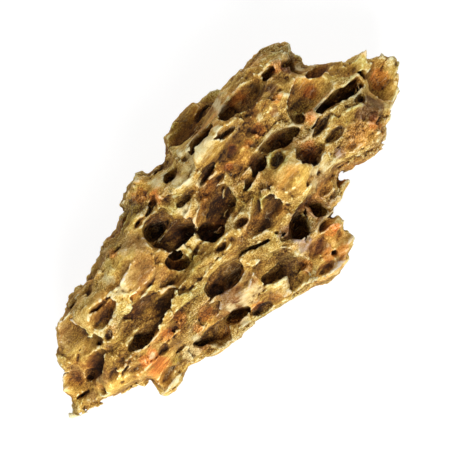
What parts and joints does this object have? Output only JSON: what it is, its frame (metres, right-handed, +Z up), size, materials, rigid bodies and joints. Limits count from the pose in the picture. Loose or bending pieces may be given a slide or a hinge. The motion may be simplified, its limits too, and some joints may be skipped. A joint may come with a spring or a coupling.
{
  "type": "aquarium dragon stone",
  "caption": "Elongated weathered clay rock, lying on its broad side, eaten all over into deep pits, slots and sharp crests.",
  "frame": {"origin": "centre of the stone's box seen from above, on the surface that it lies on", "axes": "+X along the stone towards its narrower pointed end, +Y across it, +Z up"},
  "size_m": [0.25, 0.117, 0.0773],
  "materials": {
    "stone": "matte weathered clay rock, ochre to golden brown with cream crests and dark brown pits"
  },
  "bodies": {
    "root": {"stone": "stone"}
  },
  "joints": []
}
